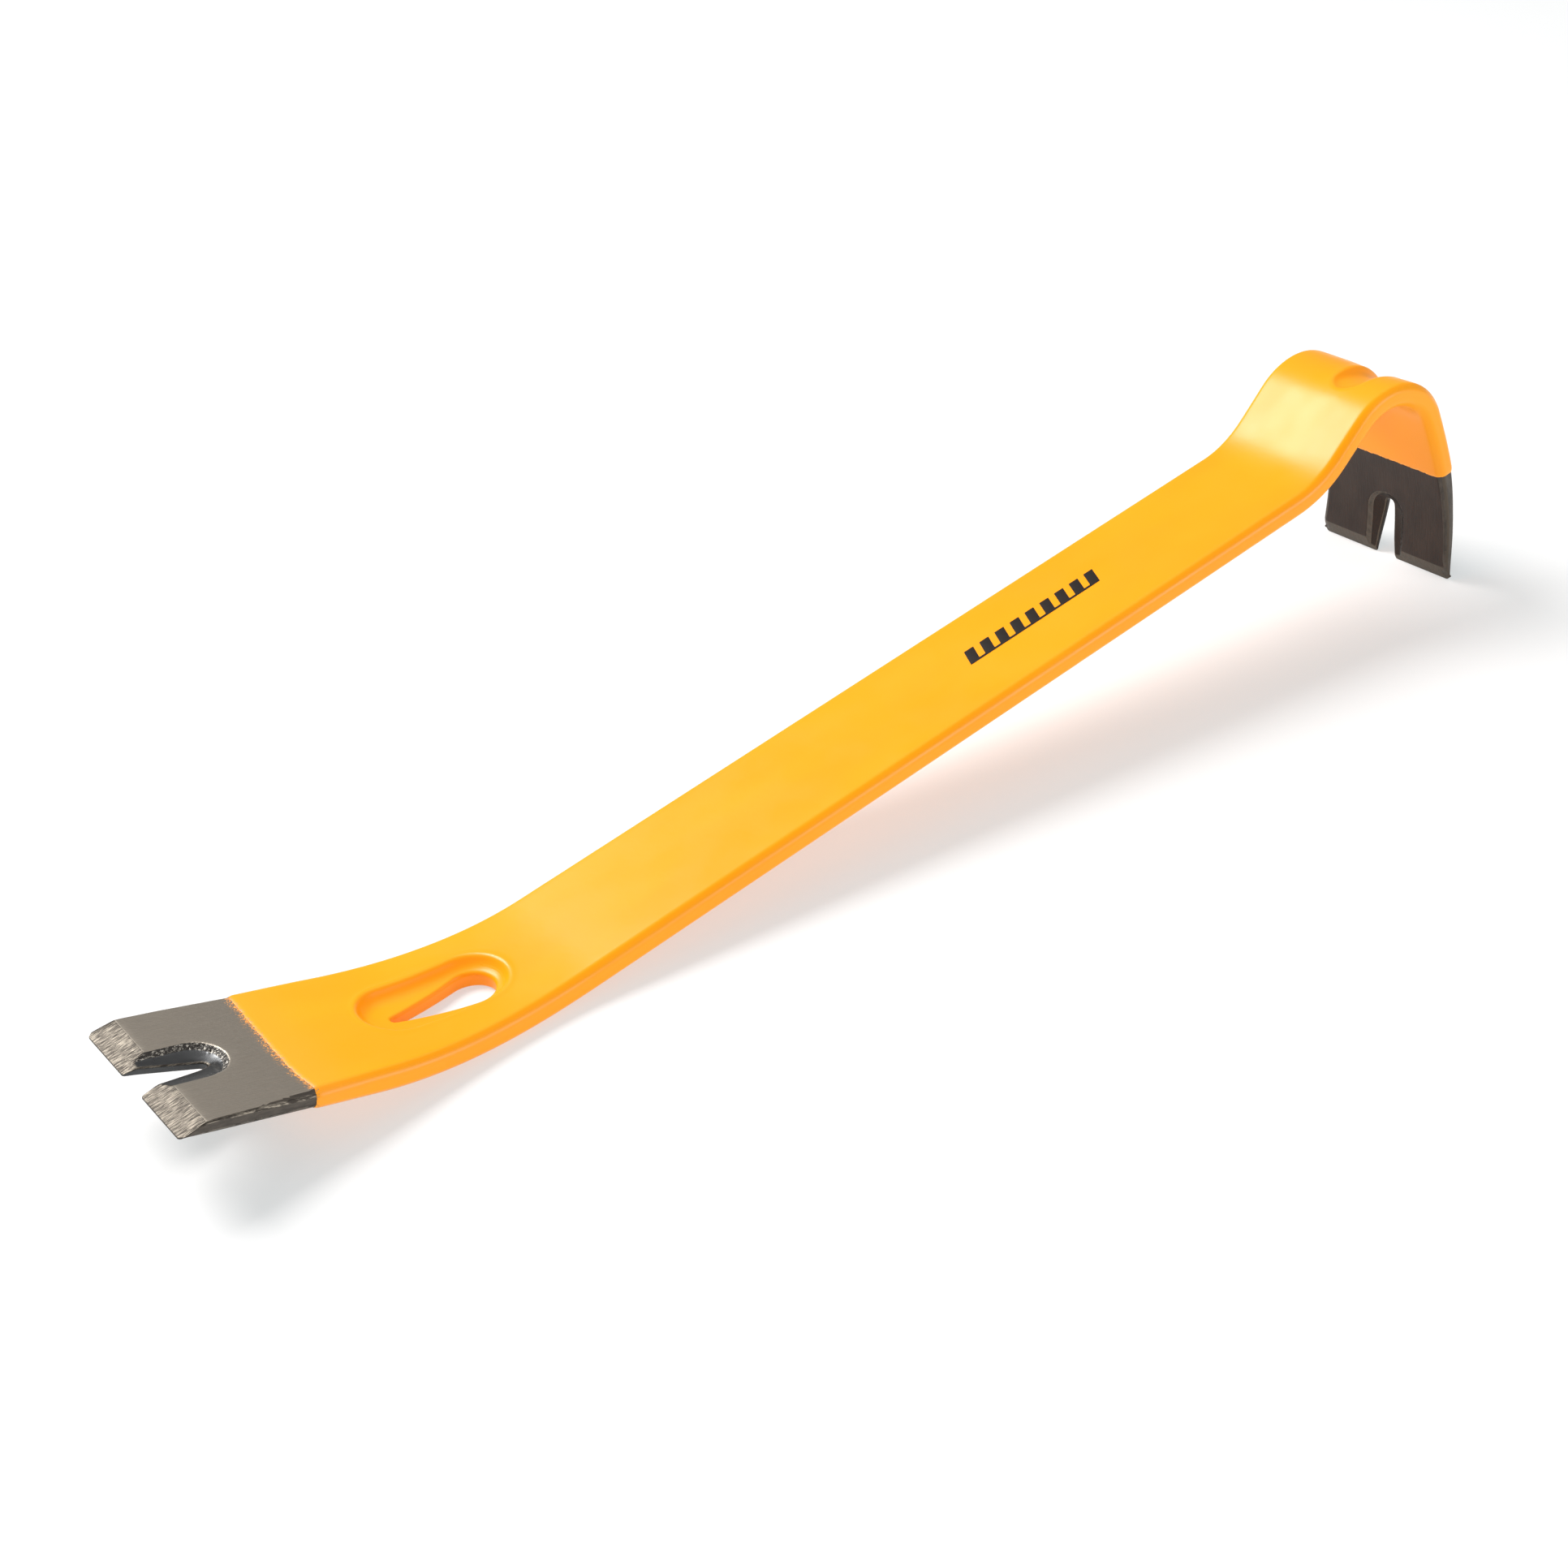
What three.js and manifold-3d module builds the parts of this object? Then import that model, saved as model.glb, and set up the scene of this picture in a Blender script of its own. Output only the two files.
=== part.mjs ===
// A drop-forged flat pry bar, standing on its heel and on the tips of its hook claw.
// Millimetres, +Z up, +X from the straight claw to the hook claw, Y across the bar.
// The bar is drawn flat first: station s runs along its middle from the straight claw's tip,
// w across it, and h through its thickness from the middle surface. bend() then lays every
// (s, w, h) along the side profile.

import * as THREE from 'three';
import Module from 'manifold-3d';

const wasm = await Module();
wasm.setup();

// ---------------------------------------------------------------- driving dimensions

// Side profile of the middle surface, from the straight claw's tip to the hook claw's tip.
// A positive turn bends the bar upwards, away from its underside.
const profile = [
  { run: 'straight claw', length: 47.0 },
  { run: 'heel', radius: 131.6, turn: 24.6 },
  { run: 'shank', length: 224.0 },
  { run: 'foot of the hump', radius: 30.4, turn: 32.8 },
  { run: 'rise', length: 11.0 },
  { run: 'hump', radius: 16.8, turn: -110.8 },
  { run: 'hook leg', radius: 94.0, turn: -24.8 },
  { run: 'hook claw', length: 9.0 },
];
const barLength = profile.reduce((sum, part) => sum + runLength(part), 0);

// Width and thickness of the bare steel, as [station, size].
const widths = [
  [0, 45.2], [47, 42.4], [104, 34.8], [343, 34.7],
  [barLength - 50, 36.6], [barLength - 24, 41.6], [barLength, 45.0],
];
const thicknesses = [
  [0, 2.8], [47, 5.5], [80, 5.75], [barLength - 60, 5.75], [barLength - 32, 5.5], [barLength, 2.2],
];
const topChamfer = 1.3;        // 45 degree break along the long edges of the top face
const underChamfer = 1.4;      // and of the underside
const topShare = 0.3;          // most of the thickness that a top chamfer takes
const underShare = 0.25;
const leastWear = 0.1;         // share of the top chamfer left at the straight bevel
const edgeLand = 0.4;          // thickness left at the cutting edges
const tipCorner = 1.1;         // corners taken off both claws, seen in plan
const straightBevel = 5.7;     // ground bevel on the straight claw's top face
const hookBevel = 3.9;         // ground bevel on the hook claw's inner face

const coatStart = 29.8;        // the coat's end near the straight claw
const coatEnd = barLength - 32.0;
const coatGap = 0.1;
const coatThickness = 0.25;
const coatOutset = coatGap + coatThickness;
const coatOverrun = 2;         // how far the coat's inner cutter runs past both of its ends

// Nail notches: a V with a round root, sunk in a wider U. Stations count from the claw's tip.
const straightNotch = { tipHalf: 4.5, rootAt: 14.8, rootRadius: 1.7 };
const hookNotch = { tipHalf: 3.4, rootAt: 16.0, rootRadius: 1.3 };
const straightSink = { rootAt: 12.4, radius: 7.2, land: 1.7 };
const hookSink = { rootAt: 14.0, radius: 6.4, land: 1.7 };
const sinkWall = 1.9;          // how far the sunk wall slopes in, seen in plan
const sinkWallDepth = 0.9;     // and how much of the depth it takes up
const sinkFloorInset = 4.6;    // where the sloping floor reaches the land

// Teardrop nail slot in the heel, inside a long sunk pocket.
const slotWide = { at: 79.3, radius: 5.9 };
const slotNarrow = { at: 60.3, radius: 1.3 };
const pocket = { from: 60.7, fromRadius: 9.1, to: 79.1, toRadius: 9.1, across: 0, depth: 2.9 };
// Groove over the hump, nearer to one edge and wider towards the hook.
const groove = { from: 366, fromRadius: 4.4, to: 389, toRadius: 6.0, across: -4.5, depth: 2.2 };
// Walls of both dishes, as [share of the radius, share of the depth], from above the rim down.
const dishWall = [[1.13, -0.5], [0.87, 0.5], [0.7, 0.82], [0.42, 1]];
const leastRadius = 0.4;

// Printed strip on the shank: slanted blocks standing on a thin line.
const mark = {
  from: 227.5, across: 0.8, length: 46.2, height: 5.4, line: 0.7, blocks: 9, slant: 2.4,
  blockShare: 0.6,             // of the pitch from one block to the next
};
const inkThickness = 0.1;
const inkGap = 0.05;

const straightStep = 12;       // longest facet along the bar
const sideStep = 4;            // longest facet along the side of a dish
const bendStep = 5;            // most degrees that one facet turns
const arcSteps = 14;           // facets round each half-round end

// ---------------------------------------------------------------- side profile

function runLength(part) {
  return part.length ?? part.radius * THREE.MathUtils.degToRad(Math.abs(part.turn));
}

// Where each run starts: its station, its place in the X-Z plane and its heading.
function walk(parts, firstHeading) {
  const runs = [];
  let station = 0;
  let place = new THREE.Vector2(0, 0);
  let heading = firstHeading;
  for (const part of parts) {
    const run = { ...part, station, place, heading, size: runLength(part) };
    runs.push(run);
    place = pointAlong(run, run.size);
    heading = headingAlong(run, run.size);
    station += run.size;
  }
  return runs;
}

function headingAlong(run, distance) {
  if (run.length !== undefined) return run.heading;
  return run.heading + Math.sign(run.turn) * distance / run.radius;
}

function pointAlong(run, distance) {
  if (run.length !== undefined) {
    const step = new THREE.Vector2(Math.cos(run.heading), Math.sin(run.heading));
    return run.place.clone().addScaledVector(step, distance);
  }
  const side = Math.sign(run.turn);
  const end = headingAlong(run, distance);
  const x = run.place.x + side * run.radius * (Math.sin(end) - Math.sin(run.heading));
  const z = run.place.y - side * run.radius * (Math.cos(end) - Math.cos(run.heading));
  return new THREE.Vector2(x, z);
}

const clawTurn = THREE.MathUtils.degToRad(profile[1].turn);
const runs = walk(profile, -clawTurn);

// A flat point (s, w, h) laid along the profile, with the shank along X.
function bend(s, w, h) {
  let run = runs[0];
  for (const next of runs) if (s >= next.station) run = next;
  const place = pointAlong(run, s - run.station);
  const heading = headingAlong(run, s - run.station);
  return new THREE.Vector3(place.x - Math.sin(heading) * h, w, place.y + Math.cos(heading) * h);
}

// ---------------------------------------------------------------- sections of the bar

// Straight lines through [station, value] pairs.
function taper(pairs, s) {
  let i = 0;
  while (i < pairs.length - 2 && s > pairs[i + 1][0]) i += 1;
  return THREE.MathUtils.mapLinear(s, pairs[i][0], pairs[i + 1][0], pairs[i][1], pairs[i + 1][1]);
}

// Smooth monotone curve through [station, value] pairs.
function along(pairs, s) {
  const last = pairs.length - 1;
  if (s <= pairs[0][0]) return pairs[0][1];
  if (s >= pairs[last][0]) return pairs[last][1];
  let i = 0;
  while (s > pairs[i + 1][0]) i += 1;
  const span = pairs[i + 1][0] - pairs[i][0];
  const t = (s - pairs[i][0]) / span;
  const rise = pairs[i + 1][1] - pairs[i][1];
  const startSlope = slopeAt(pairs, i) * span;
  const endSlope = slopeAt(pairs, i + 1) * span;
  const bow = (startSlope - rise) * (1 - t) - (endSlope - rise) * t;
  return pairs[i][1] + rise * t + t * (1 - t) * bow;
}

function slopeAt(pairs, i) {
  const secant = (a, b) => (pairs[b][1] - pairs[a][1]) / (pairs[b][0] - pairs[a][0]);
  if (i === 0) return secant(0, 1);
  if (i === pairs.length - 1) return secant(i - 1, i);
  const before = secant(i - 1, i);
  const after = secant(i, i + 1);
  if (before * after <= 0) return 0;
  return 2 * before * after / (before + after);
}

function topAt(s) {
  const half = taper(thicknesses, s) / 2;
  if (s >= straightBevel) return half;
  const full = taper(thicknesses, straightBevel) / 2;
  const edge = -taper(thicknesses, 0) / 2 + edgeLand;
  return THREE.MathUtils.lerp(edge, full, s / straightBevel);
}

function undersideAt(s) {
  const half = taper(thicknesses, s) / 2;
  const bevelFrom = barLength - hookBevel;
  if (s <= bevelFrom) return -half;
  const full = -taper(thicknesses, bevelFrom) / 2;
  const edge = taper(thicknesses, barLength) / 2 - edgeLand;
  return THREE.MathUtils.lerp(full, edge, (s - bevelFrom) / hookBevel);
}

function halfWidthAt(s) {
  const fromTip = Math.min(s, barLength - s);
  const cornerCut = Math.max(0, tipCorner - fromTip);
  return along(widths, s) / 2 - cornerCut;
}

// The eight corners of the bar's section at station s, grown all round by outset.
function section(s, outset) {
  const half = halfWidthAt(s) + outset;
  const top = topAt(s) + outset;
  const under = undersideAt(s) - outset;
  const unworn = (s - straightBevel) / (coatStart - straightBevel);
  const wear = THREE.MathUtils.clamp(unworn, leastWear, 1);
  const topCut = Math.min(topChamfer * wear, (top - under) * topShare);
  const underCut = Math.min(underChamfer, (top - under) * underShare);
  const corners = [
    [-half, under + underCut], [-half, top - topCut], [-half + topCut, top], [half - topCut, top],
    [half, top - topCut], [half, under + underCut], [half - underCut, under],
    [-half + underCut, under],
  ];
  return corners.map(([w, h]) => [s, w, h]);
}

const sameStation = 0.05;      // stations closer together than this are one

// Stations between two ends: close together where the profile bends, and at every change.
function stations(from, to) {
  const stops = [from, to, tipCorner, straightBevel, barLength - hookBevel, barLength - tipCorner];
  for (const run of runs) {
    const turn = Math.abs(run.turn ?? 0);
    const steps = Math.max(Math.ceil(run.size / straightStep), Math.ceil(turn / bendStep));
    for (let i = 0; i <= steps; i += 1) stops.push(run.station + run.size * i / steps);
  }
  const inside = stops.filter((s) => s >= from && s <= to).sort((a, b) => a - b);
  return inside.filter((s, i) => i === 0 || s - inside[i - 1] > sameStation);
}

// ---------------------------------------------------------------- solids

// Triangles that fill a ring from its first point to the far side, rung by rung, so that
// the end of a long cutter follows the bend that it lies on.
function ladder(size) {
  const rungs = [];
  let [left, right] = [size - 1, 1];
  rungs.push([0, right, left]);
  while (left - right > 1) {
    rungs.push([right, right + 1, left]);
    right += 1;
    if (left - right > 1) rungs.push([right, left - 1, left]);
    left -= 1;
  }
  return rungs;
}

// A closed body through rings of flat points, bent into place and closed at both ends.
function loft(rings) {
  const size = rings[0].length;
  const points = rings.flat().map((p) => bend(...p));
  const faces = [];
  for (let r = 0; r + 1 < rings.length; r += 1) {
    for (let i = 0; i < size; i += 1) {
      const j = (i + 1) % size;
      const [a, b, c, d] = [r * size + i, r * size + j, (r + 1) * size + j, (r + 1) * size + i];
      faces.push([a, b, c], [a, c, d]);
    }
  }
  const lastRing = (rings.length - 1) * size;
  for (const [a, b, c] of ladder(size)) {
    faces.push([a, c, b], [lastRing + a, lastRing + b, lastRing + c]);
  }
  return solid(points, faces);
}

function solid(points, faces) {
  const volume = faces.reduce((sum, [a, b, c]) => {
    return sum + points[a].dot(points[b].clone().cross(points[c]));
  }, 0);
  const outward = volume > 0 ? faces : faces.map(([a, b, c]) => [a, c, b]);
  const vertProperties = new Float32Array(points.flatMap((p) => p.toArray()));
  const triVerts = new Uint32Array(outward.flat());
  return new wasm.Manifold(new wasm.Mesh({ numProp: 3, vertProperties, triVerts }));
}

// Convex outline round two circles on the middle line, as [s, w] points, nose first.
function roundEnded(a, radiusA, b, radiusB) {
  const lean = Math.asin((radiusB - radiusA) / (b - a));
  const side = Math.PI / 2 + lean;
  const arc = (centre, radius, from, to) => Array.from({ length: arcSteps + 1 }, (_, i) => {
    const angle = THREE.MathUtils.lerp(from, to, i / arcSteps);
    return [centre + radius * Math.cos(angle), radius * Math.sin(angle)];
  });
  const nose = arc(b, radiusB, 0, side);
  const tail = arc(a, radiusA, side, 2 * Math.PI - side);
  const mirrored = nose.slice(1).reverse().map(([s, w]) => [s, -w]);
  return [...nose, ...tail, ...mirrored];
}

// The same outline with its straight sides split, so that it follows a tight bend.
function splitSides(outline) {
  return outline.flatMap((p, i) => {
    const q = outline[(i + 1) % outline.length];
    const parts = Math.max(1, Math.ceil(Math.hypot(q[0] - p[0], q[1] - p[1]) / sideStep));
    return Array.from({ length: parts }, (_, k) => [
      THREE.MathUtils.lerp(p[0], q[0], k / parts),
      THREE.MathUtils.lerp(p[1], q[1], k / parts),
    ]);
  });
}

// A cutter whose outline changes with height: layers of [outline, h].
function stack(layers) {
  return loft(layers.map(([outline, h]) => outline.map(([s, w]) => [s, w, h])));
}

function blank(from, to, outset) {
  return loft(stations(from, to).map((s) => section(s, outset)));
}

const reach = 9;               // how far a cutter runs past the faces that it cuts
const lead = -8;               // where the open end of a notch's cutter is, past the claw's tip

function slotCutter(outset) {
  const outline = roundEnded(
    slotNarrow.at, slotNarrow.radius - outset, slotWide.at, slotWide.radius - outset);
  return stack([[outline, -reach], [outline, reach]]);
}

// A sunk dish with sloping walls: steep below the rim, then shallower towards its floor.
function dishCutter(dish, outset) {
  const top = taper(thicknesses, (dish.from + dish.to) / 2) / 2 + outset;
  const ring = (share) => {
    const [first, last] = [dish.fromRadius, dish.toRadius].map((radius) => {
      return Math.max(radius * share - outset, leastRadius);
    });
    const outline = splitSides(roundEnded(dish.from, first, dish.to, last));
    return outline.map(([s, w]) => [s, w + dish.across]);
  };
  return stack(dishWall.map(([share, sunk]) => [ring(share), top - dish.depth * sunk]));
}

// The notch of one claw. toStation turns a distance from the tip into a station.
function notchCutter(notch, toStation) {
  const lean = (notch.tipHalf - notch.rootRadius) / notch.rootAt;
  const tipHalf = notch.tipHalf - lean * lead;
  const outline = [[lead, -tipHalf], [lead, tipHalf]];
  for (let i = 0; i <= arcSteps; i += 1) {
    const angle = Math.PI * (0.5 - i / arcSteps);
    const fromTip = notch.rootAt + notch.rootRadius * Math.cos(angle);
    outline.push([fromTip, notch.rootRadius * Math.sin(angle)]);
  }
  const placed = outline.map(([d, w]) => [toStation(d), w]);
  return stack([[placed, -reach], [placed, reach]]);
}

// The wider U round a notch, sunk from the face on the given side (+1 top, -1 underside).
function sinkCutter(sink, toStation, side) {
  const face = taper(thicknesses, toStation(sink.rootAt)) / 2;
  const floor = sink.land - face;
  const ring = (inset) => {
    const outline = roundEnded(lead, sink.radius - inset, sink.rootAt, sink.radius - inset);
    return outline.map(([d, w]) => [toStation(d), w]);
  };
  return stack([
    [ring(-sinkWall), side * (face + sinkWallDepth)],
    [ring(sinkWall), side * (face - sinkWallDepth)],
    [ring(sinkFloorInset), side * floor],
  ]);
}

const fromStart = (d) => d;
const fromEnd = (d) => barLength - d;

// ---------------------------------------------------------------- the pieces

function forgedBar() {
  const cutters = [
    notchCutter(straightNotch, fromStart),
    sinkCutter(straightSink, fromStart, 1),
    notchCutter(hookNotch, fromEnd),
    sinkCutter(hookSink, fromEnd, -1),
    slotCutter(0),
    dishCutter(pocket, 0),
    dishCutter(groove, 0),
  ];
  return cutters.reduce((body, cutter) => body.subtract(cutter), blank(0, barLength, 0));
}

function coated(from, to, outset) {
  const cutters = [slotCutter(outset), dishCutter(pocket, outset), dishCutter(groove, outset)];
  return cutters.reduce((body, cutter) => body.subtract(cutter), blank(from, to, outset));
}

function paintCoat() {
  const outside = coated(coatStart, coatEnd, coatOutset);
  const inside = coated(coatStart - coatOverrun, coatEnd + coatOverrun, coatGap);
  return outside.subtract(inside);
}

function printedMark() {
  const shape = new THREE.Shape();
  const pitch = (mark.length - mark.slant) / (mark.blocks - 1 + mark.blockShare);
  const block = pitch * mark.blockShare;
  shape.moveTo(0, 0);
  shape.lineTo(mark.length - mark.slant, 0);
  for (let i = mark.blocks - 1; i >= 0; i -= 1) {
    const foot = i * pitch;
    const lean = mark.slant * mark.line / mark.height;
    if (i < mark.blocks - 1) shape.lineTo(foot + block + lean, mark.line);
    shape.lineTo(foot + block + mark.slant, mark.height);
    shape.lineTo(foot + mark.slant, mark.height);
    if (i > 0) shape.lineTo(foot + lean, mark.line);
  }
  const flat = new THREE.ExtrudeGeometry(shape, { depth: inkThickness, bevelEnabled: false });
  const face = taper(thicknesses, mark.from) / 2 + coatOutset + inkGap;
  const places = flat.getAttribute('position');
  for (let i = 0; i < places.count; i += 1) {
    const s = mark.from + places.getX(i);
    const w = places.getY(i) - mark.height / 2 + mark.across;
    const point = bend(s, w, face + places.getZ(i));
    places.setXYZ(i, point.x, point.y, point.z);
  }
  flat.computeVertexNormals();
  return flat;
}

function geometryOf(manifold) {
  const mesh = manifold.getMesh();
  const geometry = new THREE.BufferGeometry();
  geometry.setAttribute('position', new THREE.BufferAttribute(mesh.vertProperties, 3));
  geometry.setIndex(new THREE.BufferAttribute(mesh.triVerts, 1));
  const faceted = geometry.toNonIndexed();
  faceted.computeVertexNormals();
  return faceted;
}

function piece(name, geometry, color, roughness, metalness) {
  const material = new THREE.MeshStandardMaterial({ color, roughness, metalness });
  const mesh = new THREE.Mesh(geometry, material);
  mesh.name = name;
  return mesh;
}

// ---------------------------------------------------------------- assembly at rest

const bar = new THREE.Group();
bar.add(piece('forged_bar', geometryOf(forgedBar()), 0x7e766b, 0.42, 0.9));
bar.add(piece('paint_coat', geometryOf(paintCoat()), 0xffbc2e, 0.35, 0.0));
bar.add(piece('printed_mark', printedMark(), 0x231c12, 0.5, 0.0));

const lowestSteps = 200;
const slopeSteps = 40;
const steepest = Math.PI / 6;

// The lowest point of a stretch of the bar's lower side when the shank is tilted.
function lowest(slope, from, to, side, outset) {
  let low = Infinity;
  for (let i = 0; i <= lowestSteps; i += 1) {
    const s = THREE.MathUtils.lerp(from, to, i / lowestSteps);
    const face = side > 0 ? topAt(s) + outset : undersideAt(s) - outset;
    const point = bend(s, 0, face);
    low = Math.min(low, point.x * Math.sin(slope) + point.z * Math.cos(slope));
  }
  return low;
}

// The tilt at which the heel and the hook claw's cutting edge both touch the ground.
function restSlope() {
  let low = 0;
  let high = steepest;
  const heelEnd = runs[2].station;
  for (let i = 0; i < slopeSteps; i += 1) {
    const slope = (low + high) / 2;
    const heel = lowest(slope, coatStart, heelEnd, -1, coatOutset);
    const tip = lowest(slope, barLength - 1, barLength, 1, 0);
    if (tip > heel) high = slope;
    else low = slope;
  }
  return (low + high) / 2;
}

bar.rotation.y = -restSlope();
bar.updateMatrixWorld(true);
const box = new THREE.Box3().setFromObject(bar, true);
bar.position.set(-(box.min.x + box.max.x) / 2, -(box.min.y + box.max.y) / 2, -box.min.z);

const pryBar = new THREE.Group();
pryBar.name = 'pry_bar';
pryBar.add(bar);
pryBar.updateMatrixWorld(true);

export default pryBar;
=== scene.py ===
"""A flat pry bar: a forged steel bar with two notched claws, a yellow coat over its middle,
and a printed strip.

The bar is drawn flat, in millimetres: station s runs along its middle from the straight claw's
tip, w runs across it, and h through its thickness from the middle surface. lay() bends every
(s, w, h) along the side profile and stands it on the ground, in the frame's metres.
"""

import math

import bpy
import numpy as np
from mathutils import Matrix, Vector
from mathutils.geometry import delaunay_2d_cdt
from mathutils.kdtree import KDTree


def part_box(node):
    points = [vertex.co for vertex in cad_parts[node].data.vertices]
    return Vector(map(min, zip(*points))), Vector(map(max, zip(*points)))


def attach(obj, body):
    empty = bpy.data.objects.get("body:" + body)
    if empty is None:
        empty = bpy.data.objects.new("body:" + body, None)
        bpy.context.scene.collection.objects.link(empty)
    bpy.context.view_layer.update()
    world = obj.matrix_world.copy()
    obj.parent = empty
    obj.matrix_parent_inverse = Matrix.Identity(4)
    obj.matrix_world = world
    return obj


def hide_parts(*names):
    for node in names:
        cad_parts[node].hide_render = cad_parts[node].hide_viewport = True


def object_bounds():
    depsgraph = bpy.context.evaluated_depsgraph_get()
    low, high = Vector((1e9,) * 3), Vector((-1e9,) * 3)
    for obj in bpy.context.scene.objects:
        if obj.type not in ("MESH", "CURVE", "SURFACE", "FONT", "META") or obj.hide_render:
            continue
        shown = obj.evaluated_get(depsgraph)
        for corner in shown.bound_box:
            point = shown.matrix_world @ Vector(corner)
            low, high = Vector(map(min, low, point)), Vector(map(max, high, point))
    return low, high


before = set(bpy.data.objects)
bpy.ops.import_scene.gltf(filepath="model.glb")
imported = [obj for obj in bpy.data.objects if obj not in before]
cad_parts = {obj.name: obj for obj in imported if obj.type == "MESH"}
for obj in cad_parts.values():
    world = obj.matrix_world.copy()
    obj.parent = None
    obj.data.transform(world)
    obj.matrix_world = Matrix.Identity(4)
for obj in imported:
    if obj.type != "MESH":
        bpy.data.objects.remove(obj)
cad_low, cad_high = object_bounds()

MM = 0.001

# ------------------------------------------------------------------ sizes of the flat bar

# Runs of the middle surface: (length, 0) is straight, (radius, turn) bends by that many degrees.
PROFILE = (
    (47.0, 0),        # straight claw
    (131.6, 24.6),    # heel
    (224.0, 0),       # shank
    (30.4, 32.8),     # foot of the hump
    (11.0, 0),        # rise
    (16.8, -110.8),   # hump
    (94.0, -24.8),    # hook leg
    (9.0, 0),         # hook claw
)
REST_SLOPE = math.radians(9.1707)   # tilt of the shank when the heel and the hook both stand
FIRST_HEADING = -math.radians(PROFILE[1][1])


def run_length(size, turn):
    return size * math.radians(abs(turn)) if turn else size


LENGTH = sum(run_length(*run) for run in PROFILE)

# Full width and thickness of the bare steel at a station.
SHANK_HALF = 34.7 / 2
WIDTHS = (
    (0, 45.2), (47, 42.4), (104, 34.8), (343, 2 * SHANK_HALF),
    (LENGTH - 50, 36.6), (LENGTH - 24, 41.6), (LENGTH, 45.0),
)
THICKNESSES = (
    (0, 2.8), (47, 5.5), (80, 5.75), (LENGTH - 60, 5.75), (LENGTH - 32, 5.5), (LENGTH, 2.2),
)
TOP_CHAMFER = 1.3
UNDER_CHAMFER = 1.4
TOP_SHARE, UNDER_SHARE = 0.3, 0.25      # most of the thickness that each chamfer takes
LEAST_WEAR = 0.1         # share of the top chamfer that is left at the straight bevel
EDGE_LAND = 0.4          # steel left at a cutting edge
CORNER_CUT = 1.1         # taken off the claws' outer corners
ROUNDING = 0.55          # of the bar's edges
MOST_ROUNDING = 0.25     # and at most this share of the edge's height
SOFT_CREASE = 0.22       # how far a crease between two faces is rounded
SHARP_ANGLE = math.radians(48)          # a crease above this is shaded as an edge

COAT_OUTSET = 0.35       # the coat's outer face above the steel
COAT_INSET = 0.05        # and its inner face
COAT_TAPER = 1.3         # how far in from its ends the coat comes up to full thickness
COAT_LEAST = 0.1         # share of its thickness that it has at those ends
PAINT_START = ((-21, 30.0), (-12, 29.1), (0, 29.5), (12, 30.2), (21, 30.8))
PAINT_END = ((-21, LENGTH - 31.9), (0, LENGTH - 32.1), (21, LENGTH - 32.0))
PAINT_KNOTS = 79         # points across the bar at each of the coat's ends
PAINT_RAGGED = 0.1       # unevenness of those ends
PAINT_WAVES = (0.9, 7.0)                # and its shortest and longest wavelength
PAINT_MARGIN = 1.0       # from the last of those points to the bar's long edge

# Mesh spacing, and the widest w that the grid on the plain faces reaches.
PLAIN_STEP = 1.8
GRID_GAP = 0.55 * PLAIN_STEP            # between the grid and the lines it fits round
EDGE_STEP = 1.2
CREASE_STEP = 0.9
CHAMFER_STEP = 1.5
CLAW_STEP = 0.7
SLOT_STEP = 0.5
ROOT_STEP = 0.3
WIDEST = 21.6
MERGE_DISTANCE = 1e-4    # points closer than this are one


class Rounded:
    """The outline round two circles on a line along the bar, at a distance across from its middle.
    Its stations count from the straight claw's tip, or from the hook claw's when it is mirrored."""

    def __init__(self, first, first_radius, last, last_radius, mirrored=False, across=0.0):
        self.first, self.first_radius = first, first_radius
        self.last, self.last_radius = last, last_radius
        self.mirrored, self.across = mirrored, across
        self.lean = math.asin((first_radius - last_radius) / (last - first))

    def station(self, s):
        return LENGTH - s if self.mirrored else s

    def outside(self, s, w):
        """Distance from the outline, negative inside it."""
        x, y = self.station(s) - self.first, np.abs(w - self.across)
        sine, cosine = math.sin(self.lean), math.cos(self.lean)
        along = x * cosine - y * sine
        near_first = np.hypot(x, y) - self.first_radius
        near_last = np.hypot(x - (self.last - self.first), y) - self.last_radius
        side = x * sine + y * cosine - self.first_radius
        side = np.where(along < 0, near_first, side)
        return np.where(along > (self.last - self.first) * cosine, near_last, side)

    def ring(self, grow, step):
        """The outline grown by grow, as points that run counter-clockwise."""
        first, last = self.first_radius + grow, self.last_radius + grow
        if first <= 0 or last <= 0:
            return np.empty((0, 2))
        half_turn = math.pi / 2 - self.lean
        nose = arc(self.last, last, -half_turn, half_turn, step)
        tail = arc(self.first, first, half_turn, 2 * math.pi - half_turn, step)
        points = subdivide(np.concatenate([nose, tail]), step, closed=True)
        if self.mirrored:
            points = points[::-1] * (-1, 1) + (LENGTH, 0)
        return points + (0, self.across)


def arc(centre, radius, start, end, step):
    half_count = max(int(abs(end - start) * radius / step / 2), 3)
    angle = np.linspace(start, end, 2 * half_count + 1)
    return np.stack([centre + radius * np.cos(angle), radius * np.sin(angle)], axis=1)


def subdivide(points, step, closed=False):
    """The same path with its long segments split."""
    ends = np.roll(points, -1, axis=0) if closed else points[1:]
    starts = points if closed else points[:-1]
    made = []
    for a, b in zip(starts, ends):
        parts = max(int(np.ceil(np.hypot(*(b - a)) / step)), 1)
        made.append(a + (b - a) * (np.arange(parts) / parts)[:, None])
    if not closed:
        made.append(points[-1:])
    return np.concatenate(made)


LEAD = 8.0               # how far the open-ended outlines run past a claw's tip


def notch(tip_half, root_at, root_radius, mirrored):
    lean = math.atan((tip_half - root_radius) / root_at)
    mouth_radius = root_radius + (root_at + LEAD) * math.sin(lean)
    return Rounded(-LEAD, mouth_radius, root_at, root_radius, mirrored)


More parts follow.
